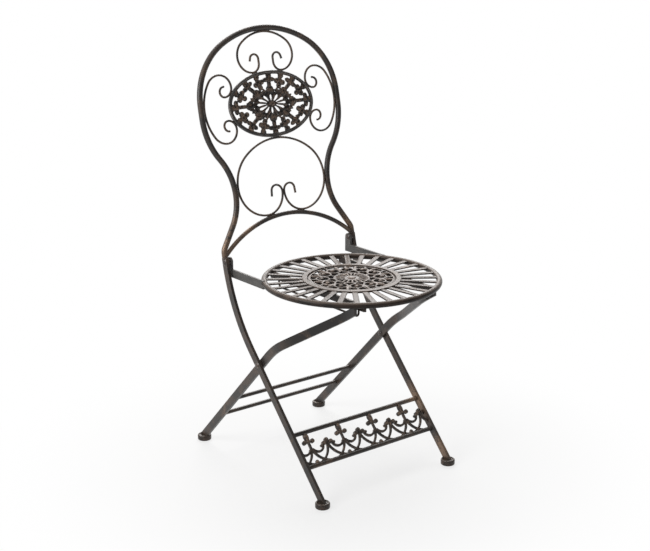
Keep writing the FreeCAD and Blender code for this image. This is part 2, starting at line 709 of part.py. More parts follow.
swan_turn = math.radians(size["rear_leg_swan_turn"])
swan_offset = size["rear_leg_x"] - size["rear_leg_end_x"]
swan_bend_offset = size["rear_leg_swan_radius"] * (1 - math.cos(swan_turn))
swan_run = (swan_offset - 2 * swan_bend_offset) / math.sin(swan_turn)
swan_length = 2 * size["rear_leg_swan_radius"] * math.sin(swan_turn) + swan_run * math.cos(swan_turn)
swan_start_y = size["rear_leg_swan_end_y"] + swan_length
plan_start_y = 320.0
plan_edges = tangent_edges((size["rear_leg_x"], plan_start_y), -90,
                           [run(plan_start_y - swan_start_y),
                            bend(size["rear_leg_swan_radius"], -size["rear_leg_swan_turn"]), run(swan_run),
                            bend(size["rear_leg_swan_radius"], size["rear_leg_swan_turn"]),
                            run(size["rear_leg_swan_end_y"] - size["rear_leg_end_y"])])
plan_height = size["rear_leg_top"] - size["leg_end_height"]
rear_plan = flat_bar("rear_plan", plan_edges, size["leg_thickness"], plan_height,
                     Placement(V(0, 0, size["leg_end_height"] + plan_height / 2), Rotation()))
rear_leg_blank = doc.addObject("Part::Common", "rear_leg_blank")
rear_leg_blank.Base = rear_side
rear_leg_blank.Tool = rear_plan
pivot_bore = x_hole("pivot_bore", size["rivet_radius"] + size["running_clearance"], *pivot)
rear_leg_left = cut(rear_leg_blank, pivot_bore, "rear_leg")
both_sides(rear_leg_left, "rear_leg")

for level in ("upper", "lower"):
    name = "rear_cross_rod_" + level
    z = size[level + "_cross_rod_z"]
    rod_y = size["pivot_y"] + (size["pivot_z"] - z) / math.tan(math.radians(rear_slope))
    keep(x_rod(name, "cross_rod_radius", rear_inside, rod_y, z), name)

# Slide pins on the leg tops, which run along the guides under the seat
upper_tangent = math.tan(math.radians(size["rear_leg_upper_slope"]))
slide_pin_z = elbow.z + (elbow.y - size["slide_pin_y"]) * upper_tangent
leg_top_inside = size["rear_leg_end_x"] - size["leg_thickness"] / 2
slide_pin = doc.addObject("Part::Cylinder", "slide_pin")
bind(slide_pin, Radius="Sizes.slide_pin_radius", Height="Sizes.slide_pin_reach")
slide_pin.Placement = Placement(V(leg_top_inside - size["slide_pin_reach"], size["slide_pin_y"], slide_pin_z),
                                Rotation(V(0, 1, 0), 90))
both_sides(slide_pin, "slide_pin")


# Feet: turned glides with a dished top that the leg stands in
def foot(name, x, y, leg):
    radius = size["foot_radius"]
    top = size["foot_height"]
    edge = size["foot_round"]
    dish_floor = top - size["foot_dish_depth"]
    dish_edge = size["foot_dish_radius"]
    bevel = edge * (1 - math.sqrt(0.5))
    body = body_named(name, Placement(V(x, y, 0), Rotation()))
    sketch = sketch_on(body, "XZ_Plane")
    outline(sketch,
            ((0, 0), (radius - edge, 0)), ((radius - edge, 0), (radius - bevel, bevel), (radius, edge)),
            ((radius, edge), (radius, top - edge)),
            ((radius, top - edge), (radius - bevel, top - bevel), (radius - edge, top)),
            ((radius - edge, top), (dish_edge, top)),
            ((dish_edge, top), (dish_edge - size["foot_dish_depth"], dish_floor)),
            ((dish_edge - size["foot_dish_depth"], dish_floor), (0, dish_floor)), ((0, dish_floor), (0, 0)))
    revolve(body, sketch, "Z_Axis")
    return cut(body, leg, name + "_seat")


foot_seat_z = size["foot_height"] - size["foot_dish_depth"]
rear_seat_y = size["pivot_y"] + (size["pivot_z"] - foot_seat_z) / math.tan(math.radians(rear_slope))
both_sides(foot("front_foot", size["front_leg_x"], front_leg_y(foot_seat_z), front_leg_left), "front_foot")
both_sides(foot("rear_foot", size["rear_leg_x"], rear_seat_y, rear_leg_left), "rear_foot")

# Seat: tube ring, flat inner ring, radial slats and a cast medallion
seat_place = Placement(V(0, size["seat_centre_y"], 0), Rotation())
seat_ring = doc.addObject("Part::Torus", "seat_ring")
bind(seat_ring, Radius1="Sizes.seat_ring_radius", Radius2="Sizes.seat_tube_radius")
seat_ring.Placement = Placement(V(0, size["seat_centre_y"], size["seat_ring_z"]), Rotation())
keep(seat_ring, "seat_ring")

inner_ring = body_named("seat_inner_ring", seat_place)
inner_sketch = sketch_on(inner_ring, "XY_Plane", size["seat_deck_z"])
circles(inner_sketch, size["inner_ring_outside"], size["inner_ring_inside"])
pad(inner_ring, inner_sketch, "inner_ring_height")
keep(inner_ring, "seat_inner_ring")

slat_place = Placement(seat_place.Base, Rotation(V(0, 0, 1), size["slat_turn"]))
slats = body_named("slat_fan", slat_place)
slat_sketch = sketch_on(slats, "XY_Plane", size["seat_deck_z"])
half_slat = size["slat_width"] / 2
slat_start = size["inner_ring_inside"] + 2
slat_end = size["seat_ring_radius"]
closed_lines(slat_sketch, [(slat_start, -half_slat), (slat_end, -half_slat),
                           (slat_end, half_slat), (slat_start, half_slat)])
slat_pad = pad(slats, slat_sketch, "slat_thickness")
doc.recompute()
slat_fan = slats.newObject("PartDesign::PolarPattern", "slat_pattern")
slat_fan.Originals = [slat_pad]
slat_fan.Axis = (origin_feature(slats, "Z_Axis"), [""])
slat_fan.Angle = 360.0
bind(slat_fan, Occurrences="Sizes.slat_count")
slats.Tip = slat_fan
inner_plug = doc.addObject("Part::Cylinder", "inner_plug")
bind(inner_plug, Radius="Sizes.inner_ring_outside", Height="Sizes.inner_ring_height")
inner_plug.Placement = Placement(V(0, size["seat_centre_y"], size["seat_deck_z"]), Rotation())
keep(cut_all(slats, [seat_ring, inner_plug], "seat_slats"), "seat_slats")


# Medallion radii, from the ribbed flower in the middle out to the rim
flower_radius = 40.0
flower_slots = 20
flower_slot_start = 16.0
flower_slot = (19.0, 5.6)
flower_eye = 2.5
scroll_count = 12
scroll_centre = 63.0
scroll_outer = 16.6
scroll_band = 5.0
scroll_ball = 5.5
scroll_ball_offset = 3.0
palmette_tip = 92.0
palmette = (30.0, 10.5)
# spokes on each scroll's own line: inner end, outer end, width
scroll_spokes = ((38.0, 48.0, 5.0), (scroll_centre + scroll_ball_offset, 77.0, 4.2), (78.0, 92.0, 5.5))


def polar(radius, angle):
    turn = math.radians(angle)
    return radius * math.cos(turn), radius * math.sin(turn)


def medallion_faces():
    flower = ring_face(flower_radius, flower_eye)
    for index in range(flower_slots):
        angle = 360 * (index + 0.5) / flower_slots
        flower = flower.cut(leaf(*polar(flower_slot_start, angle), *flower_slot, angle))
    faces = []
    for index in range(scroll_count):
        angle = 360 * index / scroll_count
        faces.append(ring_face(scroll_outer, scroll_outer - scroll_band, *polar(scroll_centre, angle)))
        faces.append(lobe(*polar(scroll_centre + scroll_ball_offset, angle), scroll_ball))
        for inner, outer, width in scroll_spokes:
            faces.append(bar_face(polar(inner, angle), polar(outer, angle), width))
        between = angle + 180 / scroll_count
        faces.append(leaf(*polar(palmette_tip, between), *palmette, between + 180))
    return [flower] + faces


# the openwork is deeper than its rim and lies a little below it
medallion_outside = size["inner_ring_inside"]
medallion_rim = ring_face(medallion_outside, medallion_outside - size["medallion_rim"])
openwork = cast(medallion_faces(), size["openwork_depth"])
openwork.translate(V(0, 0, -size["openwork_sink"]))
medallion_shape = openwork.fuse(medallion_rim.extrude(V(0, 0, size["medallion_height"])))
seat_medallion = shaped("seat_medallion", medallion_shape.removeSplitter(),
                        Placement(V(0, size["seat_centre_y"], size["seat_deck_z"]), Rotation()))
keep(seat_medallion, "seat_medallion")

# Rails under the slats, and the wire guides below them that hold the leg pins to the seat
seat_rail = doc.addObject("Part::Box", "seat_rail")
bind(seat_rail, Length="Sizes.seat_rail_thickness", Width="2 * Sizes.seat_ring_radius",
     Height="Sizes.seat_rail_height")
rail_low = size["seat_deck_z"] - size["seat_rail_height"]
rail_corner = V(size["seat_rail_x"] - size["seat_rail_thickness"] / 2,
                size["seat_centre_y"] - size["seat_ring_radius"], rail_low)
seat_rail.Placement = Placement(rail_corner, Rotation())
ring_core = doc.addObject("Part::Cylinder", "ring_core")
bind(ring_core, Radius="Sizes.seat_ring_radius", Height="4 * Sizes.seat_rail_height")
ring_core.Placement = Placement(V(0, size["seat_centre_y"], rail_low - size["seat_rail_height"]), Rotation())
rail_inside = doc.addObject("Part::Common", "rail_inside")
rail_inside.Base = seat_rail
rail_inside.Tool = ring_core
rail_left = cut(rail_inside, seat_ring, "seat_rail_coped")
both_sides(rail_left, "seat_rail")

guide_rise = rail_low - size["guide_z"] - size["guide_bend"]
guide_run = size["guide_rear_y"] - size["guide_front_y"] - 2 * size["guide_bend"]
guide_edges = tangent_edges((size["guide_rear_y"], rail_low), -90,
                            [run(guide_rise), bend(size["guide_bend"], -90), run(guide_run),
                             bend(size["guide_bend"], -90), run(guide_rise)])
guide_left = round_rod("seat_guide", guide_edges, "guide_wire_radius", side_plane(size["seat_rail_x"]))
both_sides(guide_left, "seat_guide")

# Hinge brackets: an upright eye at the back and a flat bar forward to the seat ring
bracket = body_named("hinge_bracket", side_plane(size["bracket_x"]))
bracket_sketch = sketch_on(bracket, "XY_Plane")
tab = size["bracket_tab_radius"]
bar_low = size["bracket_bar_low"]
bar_high = size["bracket_bar_high"]
front = size["bracket_front_y"]
eye = V(hinge_y, size["hinge_z"], 0)
bracket_sketch.addGeometry(Part.LineSegment(V(eye.x - tab, eye.y, 0), V(eye.x - tab, bar_high, 0)))
bracket_sketch.addGeometry(Part.LineSegment(V(eye.x - tab, bar_high, 0), V(front, bar_high, 0)))
bracket_sketch.addGeometry(Part.LineSegment(V(front, bar_high, 0), V(front, bar_low, 0)))
bracket_sketch.addGeometry(Part.LineSegment(V(front, bar_low, 0), V(eye.x + tab, bar_low, 0)))
bracket_sketch.addGeometry(Part.LineSegment(V(eye.x + tab, bar_low, 0), V(eye.x + tab, eye.y, 0)))
bracket_sketch.addGeometry(Part.ArcOfCircle(Part.Circle(eye, V(0, 0, 1), tab), 0, math.pi))
pad(bracket, bracket_sketch, "bracket_thickness")
eye_bore = x_hole("eye_bore", size["rivet_radius"] + size["running_clearance"], *hinge)
both_sides(cut_all(bracket, [eye_bore, seat_ring], "seat_bracket"), "seat_bracket")

doc.recompute()
failed = [piece.Name for piece in doc.Objects if "Invalid" in piece.State or "Error" in piece.State]
bad = [name for name, piece in nodes.items() if piece.Shape.isNull() or not piece.Shape.isValid()]
if failed or bad:
    raise RuntimeError("failed objects %s, bad shapes %s" % (failed, bad))
os.makedirs("parts", exist_ok=True)
for name, piece in nodes.items():
    piece.Shape.exportStep("parts/%s.step" % name)
    print("%-22s solids %2d  volume %9.0f mm3" % (name, len(piece.Shape.Solids), piece.Shape.Volume))
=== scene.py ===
import bpy
import bmesh
import json
import math
from mathutils import Matrix, Vector
from mathutils.bvhtree import BVHTree


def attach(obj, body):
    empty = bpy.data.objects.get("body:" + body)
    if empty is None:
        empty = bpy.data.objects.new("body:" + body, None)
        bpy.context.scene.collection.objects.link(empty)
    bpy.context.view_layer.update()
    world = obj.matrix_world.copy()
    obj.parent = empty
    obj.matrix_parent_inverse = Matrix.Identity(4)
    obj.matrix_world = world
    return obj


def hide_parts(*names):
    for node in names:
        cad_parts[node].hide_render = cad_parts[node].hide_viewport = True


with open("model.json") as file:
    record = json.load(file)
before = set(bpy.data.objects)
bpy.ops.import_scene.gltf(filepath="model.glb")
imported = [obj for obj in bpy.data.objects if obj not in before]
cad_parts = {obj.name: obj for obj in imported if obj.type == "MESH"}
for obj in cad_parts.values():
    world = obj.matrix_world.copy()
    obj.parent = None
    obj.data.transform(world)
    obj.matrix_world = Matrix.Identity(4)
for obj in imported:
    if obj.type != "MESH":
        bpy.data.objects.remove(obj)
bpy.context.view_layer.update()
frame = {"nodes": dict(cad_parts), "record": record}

scene = bpy.context.scene
scene.view_settings.view_transform = "Standard"
mm = 0.001
print("frame loaded,", len(frame["nodes"]), "nodes")


# Sockets in sums: an expression on values adds its Math nodes
class Wire:
    def __init__(self, tree, socket=None):
        self.tree = tree
        self.socket = socket

    def node(self, kind, settings=None, inputs=None, out=0):
        made = self.tree.nodes.new(kind)
        for name, value in (settings or {}).items():
            setattr(made, name, value)
        for name, value in (inputs or {}).items():
            if isinstance(value, Wire):
                self.tree.links.new(value.socket, made.inputs[name])
            else:
                made.inputs[name].default_value = value
        return Wire(self.tree, made.outputs[out] if len(made.outputs) else None)

    def maths(self, operation, first, second):
        return self.node("ShaderNodeMath", {"operation": operation}, {0: first, 1: second})

    def __add__(self, other):
        return self.maths("ADD", self, other)

    def __radd__(self, other):
        return self.maths("ADD", other, self)

    def __sub__(self, other):
        return self.maths("SUBTRACT", self, other)

    def __rsub__(self, other):
        return self.maths("SUBTRACT", other, self)

    def __mul__(self, other):
        return self.maths("MULTIPLY", self, other)

    def __rmul__(self, other):
        return self.maths("MULTIPLY", other, self)


def clouds(place, size, detail=4.0, roughness=0.55):
    return place.node("ShaderNodeTexNoise", {}, {
        "Vector": place, "Scale": 1 / size, "Detail": detail, "Roughness": roughness})


def between(value, low, high):
    return value.node("ShaderNodeMapRange", {"interpolation_type": "SMOOTHSTEP"}, {
        "Value": value, "From Min": low, "From Max": high})


def blended(share, under, over):
    return share.node("ShaderNodeMix", {"data_type": "RGBA"}, {0: share, 6: under, 7: over}, out=2)


# 1 in the core round a spot, falling to 0 at its reach
def nearTo(place, spot, reach, core):
    apart = place.node("ShaderNodeVectorMath", {"operation": "DISTANCE"}, {0: place, 1: spot}, out="Value")
    return 1 - between(apart, core * reach, reach)


def rgb(red, green, blue):
    return (red, green, blue, 1.0)


# Finishes: dark bronze paint, brushed on, with copper brown rubbed through
# paint and warm are mottled together; the top tone is a painted highlight over the upper faces, undersides
# get painted shade, and the dark places a painted shadow the rubbed tone shows in patches (rub), on eased
# edges and raised work (wear) and round some joints (rubbedPlaces); on the oval ring it is a painted
# highlight along the eased edges
# frame: the top tone is a painted highlight on upper faces
bronzeFrame = {
    "paint": rgb(0.0405, 0.0360, 0.0330), "warm": rgb(0.082, 0.059, 0.046),
    "rubbedAndHighlight": rgb(0.260, 0.175, 0.120), "paintedTopLightTone": rgb(0.100, 0.080, 0.067),
    "cloudSize": 0.030, "fleckSize": 0.0035, "fleckShare": 0.3,
    "rubSize": 0.045, "rubFrom": 0.57, "rubTo": 0.75, "rubShare": 0.42, "wearAndHighlightShare": 0.46,
    "roughness": 0.34, "roughSpread": 0.12, "bump": 0.08, "specular": 0.40,
    "paintedTopLightShare": 0.70, "paintedUnderShadeShare": 0.60,
    "rubbedPlaces": [((-0.174, 0.150, 0.508), 0.060), ((-0.120, 0.156, 0.535), 0.050),
                     ((0.174, 0.150, 0.500), 0.035), ((0.180, -0.100, 0.123), 0.060),
                     ((0.180, -0.180, 0.036), 0.045)],
    # painted shadows: the seat's shadow on the near rear leg under it, and a fainter one low on the near side
    "paintedShadowPlaces": [((-0.140, -0.135, 0.400), 0.150, 0.9), ((-0.120, -0.160, 0.060), 0.180, 0.45)]}
# seat: the top tone is a painted highlight, standing for the sheen on the tops of slats and ring
bronzeSeat = {
    "paint": rgb(0.0220, 0.0185, 0.0165), "warm": rgb(0.044, 0.031, 0.025),
    "rubbedAndHighlight": rgb(0.190, 0.135, 0.100), "paintedTopLightTone": rgb(0.205, 0.162, 0.134),
    "cloudSize": 0.030, "fleckSize": 0.003, "fleckShare": 0.3,
    "rubSize": 0.035, "rubFrom": 0.56, "rubTo": 0.76, "rubShare": 0.40, "wearAndHighlightShare": 0.30,
    "roughness": 0.36, "roughSpread": 0.08, "bump": 0.08, "specular": 0.16,
    "paintedTopLightShare": 0.88, "paintedUnderShadeShare": 0.60}
# castings: the top tone is a painted highlight on upper faces, kept mostly to raised work
castBronze = {
    "paint": rgb(0.0095, 0.0073, 0.0063), "warm": rgb(0.072, 0.052, 0.042),
    "rubbedAndHighlight": rgb(0.290, 0.200, 0.142), "paintedTopLightTone": rgb(0.185, 0.140, 0.112),
    "cloudSize": 0.025, "fleckSize": 0.0056, "fleckShare": 2.2,
    "rubSize": 0.008, "rubFrom": 0.54, "rubTo": 0.70, "rubShare": 0.62, "wearAndHighlightShare": 0.66,
    "roughness": 0.30, "roughSpread": 0.14, "bump": 0.20, "specular": 0.40,
    "paintedTopLightShare": 0.75, "lowShare": 0.25, "paintedUnderShadeShare": 0.60}
# feet: the top tone is a painted highlight on upper faces
footBronze = {
    "paint": rgb(0.034, 0.027, 0.023), "warm": rgb(0.080, 0.054, 0.041),
    "rubbedAndHighlight": rgb(0.160, 0.106, 0.078), "paintedTopLightTone": rgb(0.150, 0.116, 0.094),
    "cloudSize": 0.016, "fleckSize": 0.003, "fleckShare": 0.6,
    "rubSize": 0.010, "rubFrom": 0.58, "rubTo": 0.78, "rubShare": 0.40, "wearAndHighlightShare": 0.40,
    "roughness": 0.28, "roughSpread": 0.12, "bump": 0.2, "specular": 0.30,
    "paintedTopLightShare": 0.70, "paintedUnderShadeShare": 0.50}
# welds: the top tone is a painted highlight on upper faces
weldBronze = {
    "paint": rgb(0.032, 0.027, 0.024), "warm": rgb(0.072, 0.050, 0.040),
    "rubbedAndHighlight": rgb(0.300, 0.230, 0.185), "paintedTopLightTone": rgb(0.130, 0.104, 0.086),
    "cloudSize": 0.012, "fleckSize": 0.002, "fleckShare": 0.6,
    "rubSize": 0.008, "rubFrom": 0.52, "rubTo": 0.70, "rubShare": 0.60, "wearAndHighlightShare": 0.40,
    "roughness": 0.24, "roughSpread": 0.12, "bump": 0.2, "specular": 0.50,
    "paintedTopLightShare": 0.50, "paintedUnderShadeShare": 0.40}
# seat brackets: the pale grey paint is a painted sheen on the flat bars
bracketPaintedSheen = {
    **bronzeSeat, "paint": rgb(0.108, 0.106, 0.103), "warm": rgb(0.128, 0.123, 0.117), "paintedTopLightShare": 0.40}
# medallion: the top tone is a strong painted highlight on upper faces, kept mostly to raised work
medallionBronze = {
    **bronzeSeat, "paint": rgb(0.0100, 0.0072, 0.0058), "warm": rgb(0.036, 0.0245, 0.0190),
    "rubbedAndHighlight": rgb(0.320, 0.235, 0.180), "paintedTopLightTone": rgb(0.235, 0.180, 0.147),
    "fleckSize": 0.0045, "fleckShare": 1.4, "wearAndHighlightShare": 0.50, "specular": 0.30,
    "paintedTopLightShare": 0.95, "lowShare": 0.20}
# oval ring: the pale grey rubbed tone on its eased edges is a painted highlight
ovalPaintedHighlight = {
    **bronzeFrame, "rubbedAndHighlight": rgb(0.300, 0.285, 0.270), "rubShare": 0.15, "wearAndHighlightShare": 0.85, "specular": 0.70}
# painted shade, laid on undersides and in the painted shadows
paintedShadeTone = rgb(0.0050, 0.0045, 0.0042)

# how the brush and the cloth went over every piece, and where the painted highlight on upper faces, the
# painted shade underneath and the painted shadows fall
brushworkAndPaintedLight = {
    "fleckDetail": 3.0, "rubDetail": 5.0, "rubFleck": 0.35, "rubMetal": 0.5,
    "jointCore": 0.25, "jointFleck": 0.8, "jointFrom": 0.24, "jointTo": 0.54, "jointShare": 0.9,
    "mottleFrom": 0.40, "mottleTo": 0.62, "wornFleck": 0.2, "wornFrom": 0.36, "wornTo": 0.60,
    "underFrom": -0.60, "underTo": 0.10, "topFrom": 0.25, "topTo": 0.92, "topLeast": 0.70, "topCloud": 0.60,
    "paintedShadowCore": 0.5, "bumpDepth": 0.0006, "bumpCloud": 0.6}
noiseMiddle = 0.5


def rubbedShare(look, place, cloud, speck):
    patches = clouds(place, look["rubSize"], brushworkAndPaintedLight["rubDetail"]) + speck * brushworkAndPaintedLight["rubFleck"]
    share = between(patches, look["rubFrom"], look["rubTo"]) * look["rubShare"]
    if "rubbedPlaces" in look:
        smudge = cloud + speck * brushworkAndPaintedLight["jointFleck"]
        uneven = between(smudge, brushworkAndPaintedLight["jointFrom"], brushworkAndPaintedLight["jointTo"])
        for spot, reach in look["rubbedPlaces"]:
            near = nearTo(place, spot, reach, brushworkAndPaintedLight["jointCore"]) * uneven * brushworkAndPaintedLight["jointShare"]
            share = share.maths("MAXIMUM", share, near)
    return share


# painted light: upper faces get a painted highlight, on castings mostly where they are raised so that
# recesses stay in painted shade, undersides get painted shade, and the dark places a painted shadow
def toneWithPaintedLight(look, place, cloud, speck, wear):
    mottled = between(cloud + speck * look["fleckShare"], brushworkAndPaintedLight["mottleFrom"], brushworkAndPaintedLight["mottleTo"])
    tone = blended(mottled, look["paint"], look["warm"])
    facing = place.node("ShaderNodeAttribute", {"attribute_name": "facing"}, out="Fac")
    # painted shade on faces that look down
    under = (1 - between(facing, brushworkAndPaintedLight["underFrom"], brushworkAndPaintedLight["underTo"])) * look["paintedUnderShadeShare"]
    tone = blended(under, tone, paintedShadeTone)
    # painted highlight on faces that look up
    paintedTopLightMask = between(facing, brushworkAndPaintedLight["topFrom"], brushworkAndPaintedLight["topTo"])
    paintedTopLightMask = paintedTopLightMask * (brushworkAndPaintedLight["topLeast"] + cloud * brushworkAndPaintedLight["topCloud"]) * look["paintedTopLightShare"]
    if "lowShare" in look:
        paintedTopLightMask = paintedTopLightMask * (look["lowShare"] + wear * (1 - look["lowShare"]))
    tone = blended(paintedTopLightMask.maths("MINIMUM", paintedTopLightMask, 1.0), tone, look["paintedTopLightTone"])
    # painted shadows: the paint is darkened round each listed place where a shadow falls
    for spot, reach, share in look.get("paintedShadowPlaces", []):
        tone = blended(nearTo(place, spot, reach, brushworkAndPaintedLight["paintedShadowCore"]) * share, tone, paintedShadeTone)
    return tone


def paintedMetal(name, look):
    material = bpy.data.materials.new(name)
    material.use_nodes = True
    tree = material.node_tree
    tree.nodes.clear()
    place = Wire(tree).node("ShaderNodeTexCoord", out="Object")
    wear = place.node("ShaderNodeAttribute", {"attribute_name": "wear"}, out="Fac")
    cloud = clouds(place, look["cloudSize"])
    fleck = clouds(place, look["fleckSize"], brushworkAndPaintedLight["fleckDetail"])
    speck = fleck - noiseMiddle
    rub = rubbedShare(look, place, cloud, speck)
    patchy = cloud + speck * (brushworkAndPaintedLight["wornFleck"] + look["fleckShare"])
    wornAndHighlight = wear * between(patchy, brushworkAndPaintedLight["wornFrom"], brushworkAndPaintedLight["wornTo"]) * look["wearAndHighlightShare"]
    tone = toneWithPaintedLight(look, place, cloud, speck, wear)
    tone = blended(rub, tone, look["rubbedAndHighlight"])
    tone = blended(wornAndHighlight, tone, look["rubbedAndHighlight"])
    rough = look["roughness"] + (speck + cloud - noiseMiddle) * look["roughSpread"]
    bump = place.node("ShaderNodeBump", {}, {
        "Strength": look["bump"], "Distance": brushworkAndPaintedLight["bumpDepth"],
        "Height": fleck + cloud * brushworkAndPaintedLight["bumpCloud"]})
    shader = place.node("ShaderNodeBsdfPrincipled", {}, {
        "Base Color": tone, "Roughness": rough, "Metallic": rub * brushworkAndPaintedLight["rubMetal"], "Normal": bump,
        "Specular IOR Level": look["specular"]})
    place.node("ShaderNodeOutputMaterial", {}, {"Surface": shader})
    return material


slotPaint = {
    "frame_paint": paintedMetal("bronzeFrame", bronzeFrame),
    "seat_paint": paintedMetal("bronzeSeat", bronzeSeat),
    "cast_ornament": paintedMetal("castBronze", castBronze),
    "foot_paint": paintedMetal("footBronze", footBronze),
    "rivet_paint": paintedMetal("weldBronze", weldBronze)}
ownPaint = {
    "chair_seat_bracket": paintedMetal("bracketPaintedSheen", bracketPaintedSheen),
    "chair_seat_medallion": paintedMetal("medallionBronze", medallionBronze),
    "chair_back_oval_ring": paintedMetal("ovalPaintedHighlight", ovalPaintedHighlight)}
print("finishes made,", len(slotPaint), "for slots,", len(ownPaint), "for single pieces")

slotOf = {part["node"]: part["material_slot"] for part in frame["record"]["subparts"]}
bodyOf = {node: body for body, nodes in frame["record"]["behaviour"]["bodies"].items() for node in nodes}
mergeGap = 2e-6


# a name without its side
def kindOf(name):
    return name.removesuffix("_left").removesuffix("_right")


# how far each point of a piece faces up or down at rest, which places the painted highlight on upper faces
# and the painted shade underneath
def markFacing(mesh):
    layer = mesh.attributes.new("facing", "FLOAT", "POINT")
    for vertex, value in zip(mesh.vertices, layer.data):
        value.value = vertex.normal.z


def settle(name, mesh, slot, body, replaced=None):
    markFacing(mesh)
    piece = bpy.data.objects.new(name, mesh)
    scene.collection.objects.link(piece)
    mesh.materials.clear()
    mesh.materials.append(ownPaint.get(kindOf(name), slotPaint[slot]))
    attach(piece, body)
    if replaced:
        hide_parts(replaced)


def settleNode(node, mesh):
    settle("chair_" + node, mesh, slotOf[node], bodyOf[node], node)


def merged(node):
    work = bmesh.new()
    work.from_mesh(frame["nodes"][node].data)
    bmesh.ops.remove_doubles(work, verts=work.verts, dist=mergeGap)
    return work


def asMesh(name, work):
    mesh = bpy.data.meshes.new(name)
    work.to_mesh(mesh)
    work.free()
    return mesh


def evaluated(holder):
    graph = bpy.context.evaluated_depsgraph_get()
    mesh = bpy.data.meshes.new_from_object(holder.evaluated_get(graph), depsgraph=graph)
    bpy.data.objects.remove(holder)
    return mesh


# Trees of Geometry Nodes, with named inputs for their sizes
def newTree(name, sizes):
    tree = bpy.data.node_groups.new(name, "GeometryNodeTree")
    tree.interface.new_socket("Geometry", in_out="INPUT", socket_type="NodeSocketGeometry")
    tree.interface.new_socket("Geometry", in_out="OUTPUT", socket_type="NodeSocketGeometry")
    for label, value in sizes.items():
        kind = "NodeSocketInt" if isinstance(value, int) else "NodeSocketFloat"
        tree.interface.new_socket(label, in_out="INPUT", socket_type=kind)
    entry = tree.nodes.new("NodeGroupInput")
    return tree, {label: Wire(tree, entry.outputs[label]) for label in ["Geometry", *sizes]}


def closeTree(tree, shape, paint):
    smooth = shape.node("GeometryNodeSetShadeSmooth", {}, {"Geometry": shape})
    whole = smooth.node("GeometryNodeRealizeInstances", {}, {"Geometry": smooth})
    painted = whole.node("GeometryNodeSetMaterial", {}, {"Geometry": whole, "Material": paint})
    painted.node("NodeGroupOutput", {}, {"Geometry": painted})


def grown(name, tree, sizes, seeds):
    holder = bpy.data.objects.new(name, seeds)
    scene.collection.objects.link(holder)
    modifier = holder.modifiers.new("grow", "NODES")
    modifier.node_group = tree
    for item in tree.interface.items_tree:
        if item.in_out == "INPUT" and item.name in sizes:
            modifier[item.identifier] = sizes[item.name]
    return evaluated(holder)


# Seat slats: flat bars with rounded edges round the seat, each a hair out of true
slatFan = {
    "Count": 32, "Inner": 0.1060, "Outer": 0.1845, "Width": 0.0120, "Thickness": 0.0030, "Edge": 0.0009,
    "Turn": math.radians(-2.2), "Sway": 0.005, "Tip": 0.020, "Seed": 11}
seatMiddle = (0.0, -77.4, 439.5)


def slatTree():
    tree, size = newTree("slatFan", slatFan)
    start = Wire(tree)
    inner = start.node("ShaderNodeCombineXYZ", {}, {"X": size["Inner"]})
    outer = start.node("ShaderNodeCombineXYZ", {}, {"X": size["Outer"]})
    line = start.node("GeometryNodeCurvePrimitiveLine", {}, {"Start": inner, "End": outer})
    upright = start.node("GeometryNodeSetCurveNormal", {"mode": "Z_UP"}, {"Curve": line})
    section = start.node("GeometryNodeCurvePrimitiveQuadrilateral", {}, {
        "Width": size["Width"], "Height": size["Thickness"]})
    rounded = start.node("GeometryNodeFilletCurve", {"mode": "POLY"}, {
        "Curve": section, "Count": 2, "Radius": size["Edge"]})
    slat = start.node("GeometryNodeCurveToMesh", {}, {
        "Curve": upright, "Profile Curve": rounded, "Fill Caps": True})
    spots = start.node("GeometryNodeMeshLine", {}, {"Count": size["Count"], "Offset": (0.0, 0.0, 0.0)})
    index = start.node("GeometryNodeInputIndex")
    sway = start.node("FunctionNodeRandomValue", {}, {2: -1.0, 3: 1.0, "Seed": size["Seed"]}, out=1)
    tip = start.node("FunctionNodeRandomValue", {}, {2: -1.0, 3: 1.0, "Seed": size["Seed"] + 1}, out=1)
    step = start.maths("DIVIDE", math.tau, size["Count"])
    turn = start.node("ShaderNodeCombineXYZ", {}, {
        "X": tip * size["Tip"], "Z": index * step + sway * size["Sway"] + size["Turn"]})
    facing = start.node("FunctionNodeEulerToRotation", {}, {"Euler": turn})
    fan = start.node("GeometryNodeInstanceOnPoints", {}, {
        "Points": spots, "Instance": slat, "Rotation": facing})
    closeTree(tree, fan, slotPaint["seat_paint"])
    return tree


slatMesh = grown("slatSeeds", slatTree(), slatFan, bpy.data.meshes.new("slatSeeds"))
slatMesh.transform(Matrix.Translation(Vector(seatMiddle) * mm + Vector((0, 0, slatFan["Thickness"] / 2))))
settleNode("seat_slats", slatMesh)
print("slats laid,", slatFan["Count"])


# Castings: copies of the flat solids with their knobs, ribs and rims raised, run together and softened
knobFaces = {"Sides": 14, "Rows": 8}
softenFactor = 0.5


def knobTree():
    tree, size = newTree("knobs", knobFaces)
    start = Wire(tree)
    ball = start.node("GeometryNodeMeshUVSphere", {}, {
        "Segments": size["Sides"], "Rings": size["Rows"], "Radius": 1.0})
    reach = start.node("GeometryNodeInputNamedAttribute", {"data_type": "FLOAT_VECTOR"}, {"Name": "reach"})
    turn = start.node("GeometryNodeInputNamedAttribute", {"data_type": "FLOAT_VECTOR"}, {"Name": "turn"})
    facing = start.node("FunctionNodeEulerToRotation", {}, {"Euler": turn})
    knobs = start.node("GeometryNodeInstanceOnPoints", {}, {
        "Points": size["Geometry"], "Instance": ball, "Rotation": facing, "Scale": reach})
    closeTree(tree, knobs, slotPaint["cast_ornament"])
    return tree


castKnobs = knobTree()


def seedMesh(name, spots):
    mesh = bpy.data.meshes.new(name)
    mesh.from_pydata([spot["at"] for spot in spots], [], [])
    for label in ("reach", "turn"):
        layer = mesh.attributes.new(label, "FLOAT_VECTOR", "POINT")
        for value, spot in zip(layer.data, spots):
            value.vector = spot[label]
    return mesh


